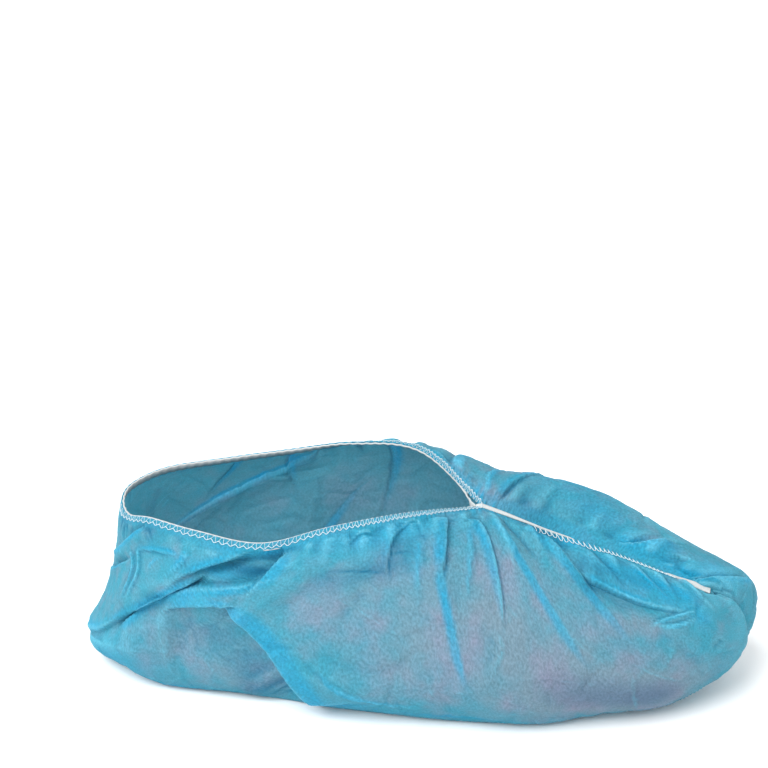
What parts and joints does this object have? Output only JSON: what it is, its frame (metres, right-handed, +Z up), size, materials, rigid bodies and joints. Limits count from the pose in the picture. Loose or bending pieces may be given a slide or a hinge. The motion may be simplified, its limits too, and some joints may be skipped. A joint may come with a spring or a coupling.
{
  "type": "disposable sock",
  "caption": "Thin blue non-woven disposable sock, gathered round its open mouth by an elastic band and closed over the toes by a seam under an elastic strip.",
  "frame": {"origin": "on the floor under the middle of the whole sock", "axes": "+X along the length towards the toes, +Y to the big-toe side, +Z up out of the mouth"},
  "size_m": [0.2976, 0.1078, 0.0974],
  "materials": {
    "nonwoven": "matte, thin and slightly see-through",
    "elastic": "matte"
  },
  "bodies": {
    "root": {"fabric_cover": "nonwoven", "mouth_elastic": "elastic", "vamp_elastic": "elastic"}
  },
  "joints": []
}
